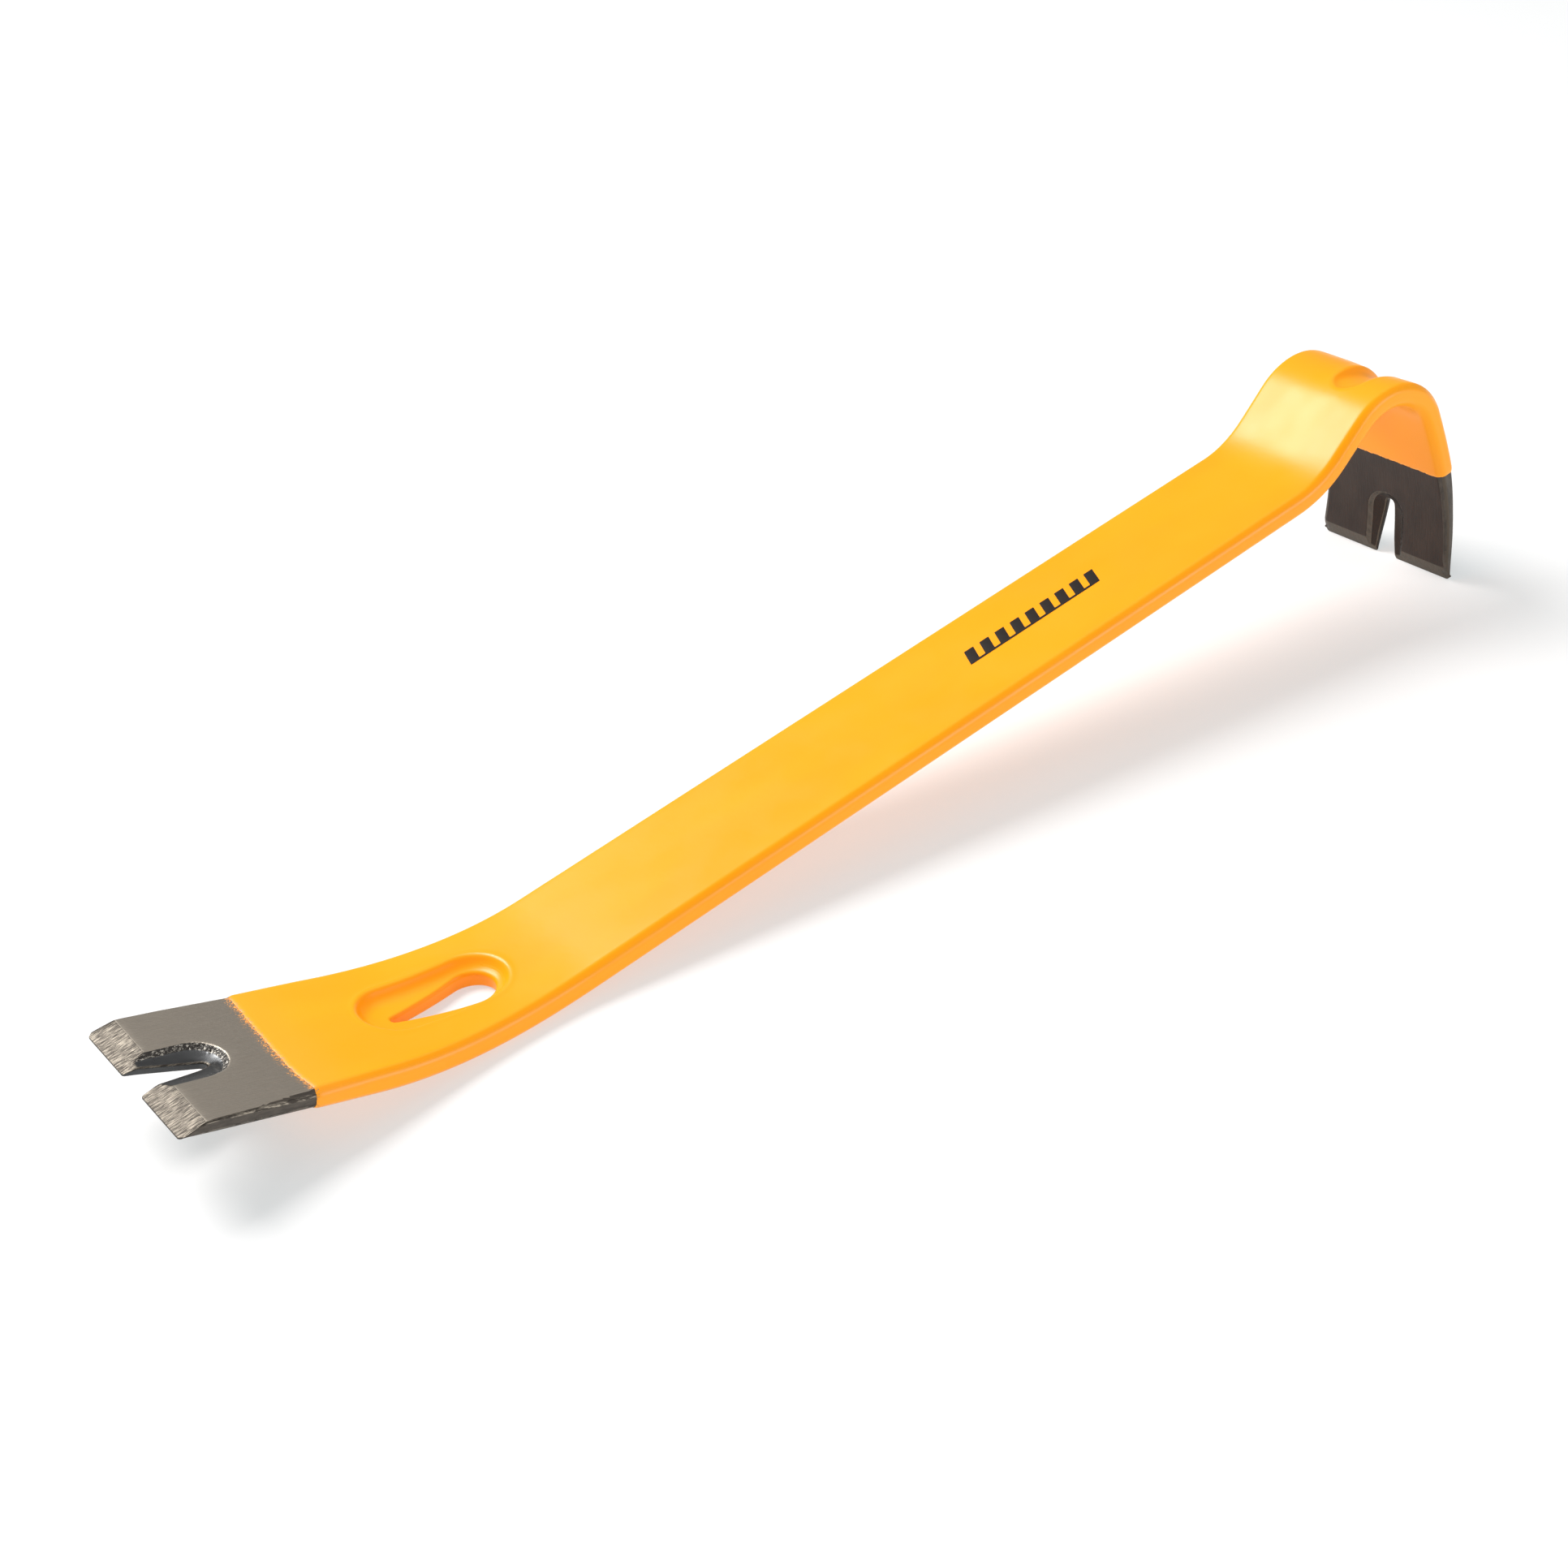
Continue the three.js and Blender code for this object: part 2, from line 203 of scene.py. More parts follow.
STRAIGHT_NOTCH = notch(4.5, 14.8, 1.7, mirrored=False)
HOOK_NOTCH = notch(3.4, 16.0, 1.3, mirrored=True)
STRAIGHT_SINK = Rounded(-LEAD, 7.4, 13.0, 7.4)
HOOK_SINK = Rounded(-LEAD, 6.4, 14.0, 6.4, mirrored=True)
STRAIGHT_BEVEL = 5.7
HOOK_BEVEL = 3.9
SINK_LAND = 1.7          # steel left below the sunk floor at the notch
SINK_WALL = 1.0          # width of the steep wall round a sunk floor
SINK_WALL_DEPTH = 1.15
SINK_FLOOR = 3.2         # width of the sloping floor inside that wall
RIM_SOFT, FOOT_SOFT, LAND_SOFT = 0.12, 0.2, 0.4     # rounding of the wall's rim and foot, and of the land
TORN_DEPTH = 0.11        # of the tears in the wall
TORN_WAVES = (0.6, 2.2)                 # their shortest and longest wavelength
TORN_START, TORN_PAST, TORN_FADE = 0.3, 0.4, 0.6    # they deepen, end past the wall, and fade over these
GENTLE_SLOPE = 0.25      # of the straight claw's near side, which has no such wall
GENTLE_END, GENTLE_FADE = 18.5, 3.0     # where that side turns into the wall, and over what length
SINK_REACH = 0.6         # how far outside its outline the sink can lower the face

TEARDROP = Rounded(60.3, 1.3, 79.3, 5.9)
POCKET = Rounded(60.7, 9.1, 79.1, 9.1)
POCKET_DEPTH = 2.9
POCKET_WALL = 1.5        # the pocket's wall eases into its floor over about this width
POCKET_LIP = 0.16
RIM_CREASE = 0.28        # how far the rim of a pressed dish is rounded
LIP_WIDTH = 0.6
GROOVE = Rounded(366.0, 4.4, 389.0, 6.0, across=-4.5)
GROOVE_DEPTH = 2.3
GROOVE_WALL = 1.1
GROOVE_LIP = 0.12
GROOVE_SHALLOW = 0.55    # share of its depth where it starts
GROOVE_FULL_FROM, GROOVE_FADE = 361.0, 10.0         # it deepens from this station, over this length
SADDLE_DEPTH = 0.5       # the gentle hollow on both sides of the groove
SADDLE_HALF = 12.0
SADDLE_AT, SADDLE_REACH = 380.0, 18.0

# The printed strip: slanted blocks that stand on a thin line.
MARK_FROM, MARK_LENGTH, MARK_HEIGHT = 227.5, 46.2, 5.4
MARK_LINE, MARK_BLOCKS, MARK_SLANT, MARK_ACROSS = 0.7, 9, 2.4, 0.8
BLOCK_SHARE = 0.6        # of the pitch from one block to the next
MARK_ROUNDING = 0.22     # of its corners
INK_THICKNESS = 0.05
INK_GAP = 0.02           # between the ink and the coat

# ------------------------------------------------------------------ curves along the bar


def ramp(x, soft):
    """Zero below 0 and x above it, with the corner rounded over about soft."""
    return (x + np.sqrt(x * x + soft * soft)) / 2


def smooth(x):
    t = np.clip(x, 0, 1)
    return t * t * (3 - 2 * t)


def smooth_curve(pairs, s):
    """A smooth curve through (station, value) pairs that doesn't overshoot them."""
    x, y = np.array(pairs, float).T
    secant = np.diff(y) / np.diff(x)
    slope = np.concatenate([secant[:1], np.zeros(len(x) - 2), secant[-1:]])
    product, total = secant[:-1] * secant[1:], secant[:-1] + secant[1:]
    same = product > 0
    slope[1:-1][same] = 2 * product[same] / total[same]
    i = np.clip(np.searchsorted(x, s) - 1, 0, len(x) - 2)
    span, rise = x[i + 1] - x[i], y[i + 1] - y[i]
    t = np.clip((s - x[i]) / span, 0, 1)
    bow = (slope[i] * span - rise) * (1 - t) - (slope[i + 1] * span - rise) * t
    return y[i] + rise * t + t * (1 - t) * bow


def thickness(s):
    x, y = np.array(THICKNESSES, float).T
    return np.interp(s, x, y)


def full_half_width(s):
    return smooth_curve(WIDTHS, s) / 2


def half_width(s):
    from_tip = np.minimum(s, LENGTH - s)
    return full_half_width(s) - np.maximum(CORNER_CUT - from_tip, 0)


EDGE_WAVES, FACE_WAVES = 7, 12          # how many waves make up an unevenness


def waves(x, amplitude, shortest, longest, seed):
    """A repeatable unevenness along x, between two wavelengths."""
    draw = np.random.default_rng(seed)
    total = np.zeros_like(x, float)
    lengths = np.geomspace(shortest, longest, EDGE_WAVES)
    for length in lengths:
        total += np.sin(2 * math.pi * x / length + draw.uniform(0, 2 * math.pi))
    return total * amplitude / math.sqrt(len(lengths))


def roughness(s, w, amplitude, shortest, longest, seed):
    """The same over a face, from waves in many directions."""
    draw = np.random.default_rng(seed)
    total = np.zeros_like(s, float)
    lengths = np.geomspace(shortest, longest, FACE_WAVES)
    for length in lengths:
        turn = draw.uniform(0, 2 * math.pi)
        travel = s * math.cos(turn) + w * math.sin(turn)
        total += np.sin(2 * math.pi * travel / length + draw.uniform(0, 2 * math.pi))
    return total * amplitude / math.sqrt(len(lengths))


# ------------------------------------------------------------------ the two faces


def ground_face(s, station, bevel):
    """Height of a face above the middle surface: flat, and bevelled down to the cutting edge."""
    half = thickness(s) / 2
    edge = EDGE_LAND - thickness(station(0.0)) / 2
    rise = (thickness(station(bevel)) / 2 - edge) / bevel
    return half - ramp(half - edge - rise * station(s), SOFT_CREASE / 2)


def claw_face(s, w, station, bevel, sink):
    """The same face, sunk round the notch: a steep torn wall, then a gently sloping floor."""
    half = thickness(s) / 2
    face = ground_face(s, station, bevel)
    inset = -sink.outside(s, w)
    floor_depth = np.maximum(2 * half - SINK_WALL_DEPTH - SINK_LAND, 0)
    past_rim = ramp(inset, RIM_SOFT)
    past_wall = ramp(inset - SINK_WALL, FOOT_SOFT)
    past_floor = ramp(inset - SINK_WALL - SINK_FLOOR, LAND_SOFT)
    wall = SINK_WALL_DEPTH * (past_rim - past_wall) / SINK_WALL
    floor = floor_depth * (past_wall - past_floor) / SINK_FLOOR
    on_wall = smooth(inset / TORN_START) * smooth((SINK_WALL + TORN_PAST - inset) / TORN_FADE)
    torn = roughness(s, w, TORN_DEPTH, *TORN_WAVES, seed=4) * on_wall
    gentle = smooth(-w) * smooth((GENTLE_END - s) / GENTLE_FADE)
    depth = (wall + floor - torn) * (1 - gentle) + past_rim * GENTLE_SLOPE * gentle
    return np.where(inset > -SINK_REACH, np.minimum(face, half - depth), face)


def dish(s, w, outline, depth, wall, lip):
    """Depth of a pressed dish: a steep wall that eases into the floor, and a raised lip."""
    inset = -outline.outside(s, w)
    inside = ramp(inset, RIM_CREASE)
    raised = lip * np.exp(-((inset + LIP_WIDTH) / LIP_WIDTH) ** 2)
    return depth * (1 - np.exp(-inside / wall)) - raised


def top_wear(s):
    """The share of the top chamfer that is left: it runs out towards the straight bevel."""
    return np.clip((s - STRAIGHT_BEVEL) / (PAINT_START[0][1] - STRAIGHT_BEVEL), LEAST_WEAR, 1)


def top_height(s, w):
    height = claw_face(s, w, lambda x: x, STRAIGHT_BEVEL, STRAIGHT_SINK)
    chamfer = np.minimum(TOP_CHAMFER * top_wear(s), thickness(s) * TOP_SHARE)
    height = height - ramp(chamfer - (full_half_width(s) - np.abs(w)), SOFT_CREASE)
    height = height - dish(s, w, POCKET, POCKET_DEPTH, POCKET_WALL, POCKET_LIP)
    share = GROOVE_SHALLOW + (1 - GROOVE_SHALLOW) * smooth((s - GROOVE_FULL_FROM) / GROOVE_FADE)
    height = height - share * dish(s, w, GROOVE, GROOVE_DEPTH, GROOVE_WALL, GROOVE_LIP)
    across = smooth(1 - np.abs(w - GROOVE.across) / SADDLE_HALF)
    along = smooth(1 - np.abs(s - SADDLE_AT) / SADDLE_REACH)
    return height - SADDLE_DEPTH * across * along


def under_height(s, w):
    height = claw_face(s, w, lambda x: LENGTH - x, HOOK_BEVEL, HOOK_SINK)
    chamfer = np.minimum(UNDER_CHAMFER, thickness(s) * UNDER_SHARE)
    return -(height - ramp(chamfer - (full_half_width(s) - np.abs(w)), SOFT_CREASE))


# ------------------------------------------------------------------ outlines in plan


def softened(before, corner, after, radius, steps=6):
    """The curve that rounds off one corner of a path."""
    start = corner + (before - corner) * radius / np.hypot(*(before - corner))
    end = corner + (after - corner) * radius / np.hypot(*(after - corner))
    t = np.linspace(0, 1, steps + 1)[:, None]
    return start * (1 - t) ** 2 + corner * 2 * t * (1 - t) + end * t * t


def paint_knots(pairs, seed):
    """The points of a coat's end, from the near side of the bar to the far side."""
    reach = full_half_width(pairs[0][1]) - PAINT_MARGIN
    across = np.linspace(-reach, reach, PAINT_KNOTS)
    return across, smooth_curve(pairs, across) + waves(across, PAINT_RAGGED, *PAINT_WAVES, seed)


START_LINE = paint_knots(PAINT_START, seed=2)
END_LINE = paint_knots(PAINT_END, seed=3)
TAPER_ROWS = (0.0, 0.15, 0.4, 0.8, COAT_TAPER)


def paint_depth(s, w):
    """How far inside the coat's two ends a point lies, along the bar."""
    return np.minimum(s - np.interp(w, *START_LINE), np.interp(w, *END_LINE) - s)


def edge_stations(side):
    """Stations along one long edge, with one at each row of the coat's ends."""
    end = 0 if side < 0 else -1
    rows = [START_LINE[1][end] + row for row in TAPER_ROWS]
    rows += [END_LINE[1][end] - row for row in TAPER_ROWS]
    regular = np.linspace(CORNER_CUT + 1, LENGTH - CORNER_CUT - 1, int(LENGTH / EDGE_STEP))
    clear = [s for s in regular if min(abs(s - row) for row in rows) > EDGE_STEP / 3]
    return np.array(sorted(clear + rows))


def long_edge(side):
    s = edge_stations(side)
    return np.stack([s, side * full_half_width(s)], axis=1)


CLAW_ROUNDINGS = (0.3, 0.4, 0.6)        # at both ends of the corner cut, and at the notch's mouth


def claw_end(outline, mirrored):
    """One claw's end seen in plan, from its far corner to its near corner."""
    half = full_half_width(LENGTH if mirrored else 0.0)
    lean = outline.lean
    mouth = outline.last_radius / math.cos(lean) + outline.last * math.tan(lean)
    root = arc(outline.last, outline.last_radius, math.pi / 2 - lean, lean - math.pi / 2, ROOT_STEP)
    corners = np.array([
        (CORNER_CUT + 1, half), (CORNER_CUT, half), (0, half - CORNER_CUT), (0, mouth), root[0],
    ])
    path = [softened(*corners[i:i + 3], radius) for i, radius in enumerate(CLAW_ROUNDINGS)]
    far_half = np.concatenate([*path, root[: len(root) // 2 + 1]])
    near_half = far_half[:-1][::-1] * (1, -1)
    points = subdivide(np.concatenate([far_half, near_half]), CLAW_STEP)
    if mirrored:
        points = points[::-1] * (-1, 1) + (LENGTH, 0)
    return points


def bar_outline():
    """The outer edge, counter-clockwise, and the teardrop slot's edge, clockwise."""
    outer = [
        long_edge(-1),
        claw_end(HOOK_NOTCH, mirrored=True),
        long_edge(1)[::-1],
        claw_end(STRAIGHT_NOTCH, mirrored=False),
    ]
    return [np.concatenate(outer), TEARDROP.ring(0, SLOT_STEP)[::-1]]


def clearance(s, w):
    """Distance to the nearest edge seen in plan."""
    gaps = [half_width(s) - np.abs(w), s, LENGTH - s]
    gaps += [outline.outside(s, w) for outline in (TEARDROP, STRAIGHT_NOTCH, HOOK_NOTCH)]
    return np.min(gaps, axis=0)


def clear_runs(points, gap):
    """The stretches of a path that stay clear of every edge."""
    keep = clearance(points[:, 0], points[:, 1]) > gap
    runs, current = [], []
    for point, kept in zip(points, keep):
        if kept:
            current.append(point)
        elif current:
            runs.append(np.array(current))
            current = []
    return [run for run in [*runs, np.array(current)] if len(run) > 1]


def closed(points):
    return np.concatenate([points, points[:1]]) if len(points) else points


# How far outside each outline the mesh has a ring, closest together where the face turns most.
SINK_RINGS = (0.3, 0.1, -0.1, -0.3, -0.5, -0.7, -0.9, -1.2, -1.7, -2.4, -3.3, -4.2)
NOTCH_RINGS = (0.85, 1.2, 1.7)
TEARDROP_RINGS = (0.85, 1.15, 1.5, 2.0)
DISH_RINGS = (2.6, 1.8, 1.2, 0.7, 0.3, 0, -0.3, -0.6, -1.0, -1.5, -2.1, -2.9, -4.0)
CHAMFER_LINES = (0.8, 1.1, 1.35, 1.7, 2.2)          # distances in from the long edges
CREASE_LINES = (-0.25, 0, 0.25)                     # stations either side of a bevel's crease
BEVEL_GAP = 0.5          # between a bevel's crease and the chamfer lines
LINE_GAP = ROUNDING + 0.15              # between every line and the nearest edge


def feature_lines():
    """Paths that the mesh follows, so that creases, rims and roundings stay crisp."""
    lines = []
    for inset in CHAMFER_LINES:
        s = np.arange(STRAIGHT_BEVEL + BEVEL_GAP, LENGTH - HOOK_BEVEL - BEVEL_GAP, CHAMFER_STEP)
        for side in (-1, 1):
            lines.append(np.stack([s, side * (full_half_width(s) - inset)], axis=1))
    creases = ((STRAIGHT_BEVEL, STRAIGHT_SINK, 0.2), (LENGTH - HOOK_BEVEL, HOOK_SINK, 0.4))
    for crease, sink, gap in creases:
        for offset in CREASE_LINES:
            for side in (-1, 1):
                w = side * np.arange(sink.last_radius + gap, WIDEST, CREASE_STEP)
                lines.append(np.stack([np.full_like(w, crease + offset), w], axis=1))
    rims = (
        (STRAIGHT_SINK, SINK_RINGS, 0.4),
        (HOOK_SINK, SINK_RINGS, 0.5),
        (STRAIGHT_NOTCH, NOTCH_RINGS, 0.5),
        (HOOK_NOTCH, NOTCH_RINGS, 0.5),
        (TEARDROP, TEARDROP_RINGS, 0.6),
        (POCKET, DISH_RINGS, 0.8),
        (GROOVE, DISH_RINGS, 0.8),
    )
    for outline, grown, step in rims:
        lines += [closed(outline.ring(grow, step)) for grow in grown]
    return [run for line in lines if len(line) for run in clear_runs(line, LINE_GAP)]


def paint_lines(loop):
    """The rows of the coat's two ends, each from one long edge's point to the other's."""
    lines = []
    for (across, stations), inward in ((START_LINE, 1), (END_LINE, -1)):
        for row in TAPER_ROWS:
            inner = np.stack([stations + inward * row, across], axis=1)
            ends = []
            for end, side in ((0, -1), (-1, 1)):
                on_edge = loop[:, 1] * side > SHANK_HALF - 2
                gap = np.where(on_edge, np.abs(loop[:, 0] - inner[end, 0]), np.inf)
                ends.append(loop[np.argmin(gap)][None])
            lines.append(np.concatenate([ends[0], inner, ends[1]]))
    return lines


# ------------------------------------------------------------------ plates


def outward(loop):
    """Unit vectors to the right of a loop's travel, away from the material."""
    forward = np.roll(loop, -1, axis=0) - loop
    forward /= np.linalg.norm(forward, axis=1)[:, None]
    mean = forward + np.roll(forward, 1, axis=0)
    mean /= np.linalg.norm(mean, axis=1)[:, None]
    return np.stack([mean[:, 1], -mean[:, 0]], axis=1)


def grid_points(taken, step, gap):
    """Points of a plain grid that stay away from the points already taken."""
    tree = KDTree(len(taken))
    for i, (s, w) in enumerate(taken):
        tree.insert((s, w, 0), i)
    tree.balance()
    columns = int(LENGTH / step)
    rows = np.arange(-WIDEST, WIDEST + step / 2, step)
    made = []
    for column in range(1, columns):
        s = column * LENGTH / columns
        shift = step / 2 if column % 2 else 0
        points = np.stack([np.full_like(rows, s), rows + shift], axis=1)
        points = points[clearance(points[:, 0], points[:, 1]) > gap]
        made += [p for p in points if tree.find((*p, 0))[2] > gap]
    return made


def triangulate(loops, lines, loose):
    """Triangles over the area inside the loops, along the lines. Returns the points, the triangles and
    each loop's points as indices."""
    points, edges = [], []
    for path, is_loop in [(loop, True) for loop in loops] + [(line, False) for line in lines]:
        first = len(points)
        points += [Vector(p) for p in path]
        edges += [(first + i, first + i + 1) for i in range(len(path) - 1)]
        if is_loop:
            edges.append((first + len(path) - 1, first))
    points += [Vector(p) for p in loose]
    made, _, faces, origins, _, _ = delaunay_2d_cdt(points, edges, [], 0, MERGE_DISTANCE, True)
    where = {old: new for new, olds in enumerate(origins) for old in olds}
    flat = np.array([tuple(p) for p in made])
    triangles = np.array(faces)
    middle = flat[triangles].mean(axis=1)
    kept = inside(middle, loops[0])
    for hole in loops[1:]:
        kept &= ~inside(middle, hole)
    indices, first = [], 0
    for loop in loops:
        indices.append([where[first + i] for i in range(len(loop))])
        first += len(loop)
    return flat, triangles[kept], indices


def inside(points, loop):
    """Whether each point is inside a closed loop, by counting crossings."""
    a, b = loop, np.roll(loop, -1, axis=0)
    x, y = points[:, 0][:, None], points[:, 1][:, None]
    straddles = (a[:, 1] > y) != (b[:, 1] > y)
    with np.errstate(divide="ignore", invalid="ignore"):
        crossing = a[:, 0] + (y - a[:, 1]) * (b[:, 0] - a[:, 0]) / (b[:, 1] - a[:, 1])
    return (straddles & (x < crossing)).sum(axis=1) % 2 == 1


def edge_rows(outline, inner, radius, top, under):
    """Rows of points down an edge, from the top face to the underside, rounded at both corners."""
    upper, lower = top(*outline.T), under(*outline.T)

    def point(plan, height):
        return np.concatenate([plan, height[:, None]], axis=1)

    quarters = (0.25, 0.5, 0.75)

    def rounded(face_start, height, drop):
        corner, end = point(outline, height), point(outline, height + drop)
        return [
            face_start * (1 - t) ** 2 + corner * 2 * t * (1 - t) + end * t * t
            for t in (*quarters, 1.0)
        ]

    above = rounded(point(inner, top(*inner.T)), upper, -radius)
    below = rounded(point(inner, under(*inner.T)), lower, radius)
    between = [above[-1] * (1 - t) + below[-1] * t for t in quarters]
    return [*above, *between, *below[::-1]]


def plate(outlines, top, under, rounding, lines_of, loose_of):
    """A closed body between two height functions, with rounded edges along its outlines.
    Returns its flat points and its faces as lists of indices."""
    radii, inner = [], []
    for outline in outlines:
        wall = top(*outline.T) - under(*outline.T)
        radii.append(np.minimum(rounding, wall * MOST_ROUNDING))
        inner.append(outline - outward(outline) * radii[-1][:, None])
    lines = lines_of(inner[0])
    loose = loose_of(np.concatenate([*inner, *lines]) if lines else np.concatenate(inner))
    flat, triangles, indices = triangulate(inner, lines, loose)
    count = len(flat)
    points = [
        np.concatenate([flat, top(*flat.T)[:, None]], axis=1),
        np.concatenate([flat, under(*flat.T)[:, None]], axis=1),
    ]
    faces = [tuple(t) for t in triangles.tolist()]
    faces += [(c + count, b + count, a + count) for a, b, c in triangles.tolist()]
    total = 2 * count
    for outline, loop, radius, index in zip(outlines, inner, radii, indices):
        rows = edge_rows(outline, loop, radius, top, under)
        size = len(outline)
        chain = [index]
        for row in rows:
            chain.append(list(range(total, total + size)))
            points.append(row)
            total += size
        chain.append([i + count for i in index])
        for upper, lower in zip(chain[:-1], chain[1:]):
            for i in range(size):
                j = (i + 1) % size
                faces.append((upper[i], lower[i], lower[j], upper[j]))
    return np.concatenate(points), faces


def vertex_normals(points, faces):
    normals = np.zeros_like(points)
    for size in (3, 4):
        corners = np.array([f for f in faces if len(f) == size])
        if not len(corners):
            continue
        p = points[corners]
        if size == 3:
            face_normals = np.cross(p[:, 1] - p[:, 0], p[:, 2] - p[:, 0])
        else:
            face_normals = np.cross(p[:, 2] - p[:, 0], p[:, 3] - p[:, 1])
        for k in range(size):
            np.add.at(normals, corners[:, k], face_normals)
    return normals / np.maximum(np.linalg.norm(normals, axis=1), 1e-12)[:, None]


# ------------------------------------------------------------------ bending and placing


def bend(flat):
    """Flat points laid along the side profile, with the shank level, in millimetres."""
    s, w, h = flat.T
    x, z, heading = np.zeros_like(s), np.zeros_like(s), np.zeros_like(s)
    start, place, turned = 0.0, np.zeros(2), FIRST_HEADING
    for size, turn in PROFILE:
        length = run_length(size, turn)
        bending = math.radians(turn) / length
        here = s >= start if start else np.ones(len(s), bool)
        distance = np.append(s[here] - start, length)
        angle = turned + bending * distance
        if turn:
            run_x = place[0] + (np.sin(angle) - math.sin(turned)) / bending
            run_z = place[1] - (np.cos(angle) - math.cos(turned)) / bending
        else:
            run_x = place[0] + distance * math.cos(turned)
            run_z = place[1] + distance * math.sin(turned)
        x[here], z[here], heading[here] = run_x[:-1], run_z[:-1], angle[:-1]
        start, place, turned = start + length, np.array([run_x[-1], run_z[-1]]), angle[-1]
    return np.stack([x - np.sin(heading) * h, w, z + np.cos(heading) * h], axis=1)


def tilt(points):
    x, y, z = points.T
    sine, cosine = math.sin(REST_SLOPE), math.cos(REST_SLOPE)
    return np.stack([x * cosine - z * sine, y, x * sine + z * cosine], axis=1)


# The straight claw's tip is the frame's lowest X, and the hook's cutting edge its lowest Z.
bar_low, bar_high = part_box("forged_bar")
TIPS = tilt(bend(np.array([(0, 0, -thickness(0.0) / 2), (LENGTH, 0, thickness(LENGTH) / 2)])))
SHIFT = np.array([bar_low.x / MM - TIPS[0, 0], 0, bar_low.z / MM - TIPS[1, 2]])


def lay(flat):
    """Flat millimetres to the frame's metres."""
    return (tilt(bend(flat)) + SHIFT) * MM


def make_piece(name, flat, faces, materials, chosen=None):
    """A smooth-shaded mesh that keeps its flat coordinates for the materials."""
    mesh = bpy.data.meshes.new(name)
    mesh.from_pydata(lay(flat).tolist(), [], faces)
    mesh.update()
    kept = mesh.attributes.new("flat", "FLOAT_VECTOR", "POINT")
    kept.data.foreach_set("vector", flat.astype(np.float32).ravel())
    depth = mesh.attributes.new("paint_depth", "FLOAT", "POINT")
    depth.data.foreach_set("value", paint_depth(flat[:, 0], flat[:, 1]).astype(np.float32))
    mesh.polygons.foreach_set("use_smooth", np.ones(len(faces), bool))
    for material in materials:
        mesh.materials.append(material)
    if chosen is not None:
        mesh.polygons.foreach_set("material_index", np.asarray(chosen, np.int32))
    mesh.set_sharp_from_angle(angle=SHARP_ANGLE)
    piece = bpy.data.objects.new(name, mesh)
    bpy.context.scene.collection.objects.link(piece)
    return piece


# ------------------------------------------------------------------ node helpers


# Sockets of a colour mix node, which share their names with those of its other types.
MIX_FACTOR, MIX_FROM, MIX_TO, MIX_RESULT = 0, 6, 7, 2
HOOK_SIDE = (LENGTH * 0.6, LENGTH * 0.7)            # stations between which the steel turns darker, a painted shade on the hook's half, which faces away from the light
COAT_START_SIDE = (60.0, 50.0)          # and between which the overspray by the claw comes in


class Shader:
    """A material with a Principled BSDF, and short ways to add nodes to it."""

    def __init__(self, name, **sockets):
        self.material = bpy.data.materials.new(name)
        self.material.use_nodes = True
        self.tree = self.material.node_tree
        self.surface = self.tree.nodes["Principled BSDF"]
        for socket, value in sockets.items():
            self.surface.inputs[socket.replace("_", " ")].default_value = value

    def node(self, kind, inputs=(), **settings):
        made = self.tree.nodes.new(kind)
        for key, value in settings.items():
            setattr(made, key, value)
        for key, value in dict(inputs).items():
            if isinstance(value, bpy.types.NodeSocket):
                self.tree.links.new(value, made.inputs[key])
            else:
                made.inputs[key].default_value = value
        return made

    def attribute(self, name, output="Vector"):
        return self.node("ShaderNodeAttribute", attribute_name=name).outputs[output]

    def station(self):
        return self.node("ShaderNodeSeparateXYZ", {0: self.attribute("flat")}).outputs[0]

    def flat(self, scale):
        """Flat millimetres times scale, as texture coordinates."""
        return self.node(
            "ShaderNodeVectorMath", {0: self.attribute("flat"), 1: scale}, operation="MULTIPLY",
        ).outputs[0]

    def noise(self, scale, detail=3.0, rough=0.5):
        return self.node(
            "ShaderNodeTexNoise",
            {"Vector": self.flat(scale), "Scale": 1.0, "Detail": detail, "Roughness": rough},
        ).outputs["Fac"]

    def remap(self, value, low, high, to_low=0.0, to_high=1.0, kind="SMOOTHSTEP"):
        return self.node(
            "ShaderNodeMapRange",
            {"Value": value, "From Min": low, "From Max": high, "To Min": to_low, "To Max": to_high},
            interpolation_type=kind,
        ).outputs[0]

    def math(self, operation, a, b=0.0):
        return self.node("ShaderNodeMath", {0: a, 1: b}, operation=operation).outputs[0]

    def mix(self, factor, a, b):
        return self.node(
            "ShaderNodeMix", {MIX_FACTOR: factor, MIX_FROM: a, MIX_TO: b}, data_type="RGBA",
        ).outputs[MIX_RESULT]

    def connect(self, socket, output):
        self.tree.links.new(output, self.surface.inputs[socket])

    def bump(self, height, distance, strength=1.0):
        inputs = {"Height": height, "Distance": distance, "Strength": strength}
        return self.node("ShaderNodeBump", inputs).outputs["Normal"]

    def hook_side(self):
        """0 on the straight claw's half of the bar and 1 on the hook's."""
        return self.remap(self.station(), *HOOK_SIDE)

    def start_side(self):
        """1 round the start of the coat, by the straight claw, and 0 further on."""
        return self.remap(self.station(), *COAT_START_SIDE)

    def spray_grains(self):
        return self.noise((2.6, 3.4, 3.4), detail=4.0, rough=0.7)


def colour(red, green, blue):
    """A display colour, 0 to 255, as the linear colour that a shader takes."""
    def linear(value):
        value /= 255
        return value / 12.92 if value <= 0.04045 else ((value + 0.055) / 1.055) ** 2.4
    return (linear(red), linear(green), linear(blue), 1.0)


# ------------------------------------------------------------------ materials

